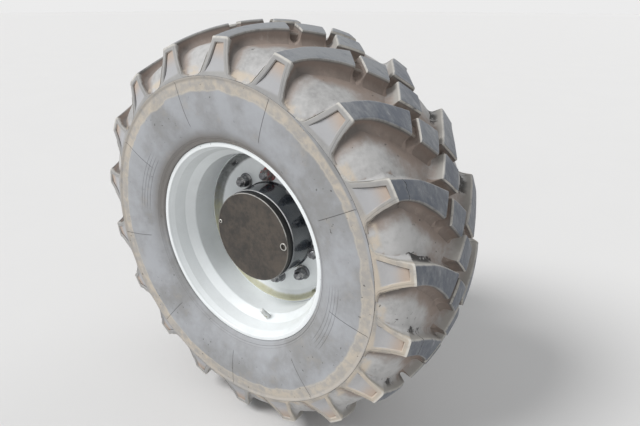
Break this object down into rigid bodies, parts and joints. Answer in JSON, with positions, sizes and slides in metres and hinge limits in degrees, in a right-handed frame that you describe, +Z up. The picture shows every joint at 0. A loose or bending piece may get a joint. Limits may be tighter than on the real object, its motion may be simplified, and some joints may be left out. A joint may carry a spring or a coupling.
{
  "type": "telehandler wheel end with steered planetary hub",
  "caption": "Lugged tyre on a pale rim bolted to a black planetary hub, steered by a knuckle on the bolted end arm of an axle.",
  "frame": {"origin": "centre of the axle arm's bolting face, on the axle's line", "axes": "+Y along the axle towards the machine, -Y out through the wheel, +Z up, +X to the right seen from outside"},
  "size_m": [1.197, 0.7768, 1.197],
  "materials": {
    "tyre_rubber": "worn grey rubber, dusty in the tread's valleys",
    "rim_paint": "pale grey gloss paint, dirt in the disc's corner",
    "drum_paint": "black gloss paint",
    "cap_paint": "black matt paint on a cast face",
    "nut_steel": "dark steel",
    "bright_steel": "bare machined steel",
    "casting_paint": "black satin paint on castings",
    "valve_brass": "dull brass with a black cap"
  },
  "bodies": {
    "arm": {"axle_arm": "casting_paint", "half_shaft": "bright_steel", "joint_cross": "bright_steel"},
    "swivel": {"knuckle": "casting_paint", "spindle": "bright_steel", "plate_bolts": "nut_steel", "kingpins": "casting_paint", "kingpin_bolts": "nut_steel", "stop_screws": "nut_steel", "stub_yoke": "bright_steel", "steering_lever": "casting_paint"},
    "wheel": {"tyre": "tyre_rubber", "rim": "rim_paint", "wheel_disc": "rim_paint", "wheel_studs": "nut_steel", "wheel_nuts": "nut_steel", "hub_drum": "drum_paint", "hub_cap": "cap_paint", "level_plug": "nut_steel", "valve_stem": "valve_brass"}
  },
  "joints": [
    {"name": "steer", "type": "hinge", "parent": "arm", "child": "swivel", "pos_m": [0, -0.42, 0], "axis": [0, 0, 1], "range_deg": [-35, 35]},
    {"name": "wheel_spin", "type": "hinge", "parent": "swivel", "child": "wheel", "pos_m": [0, -0.55, 0], "axis": [0, 1, 0], "continuous": true}
  ]
}
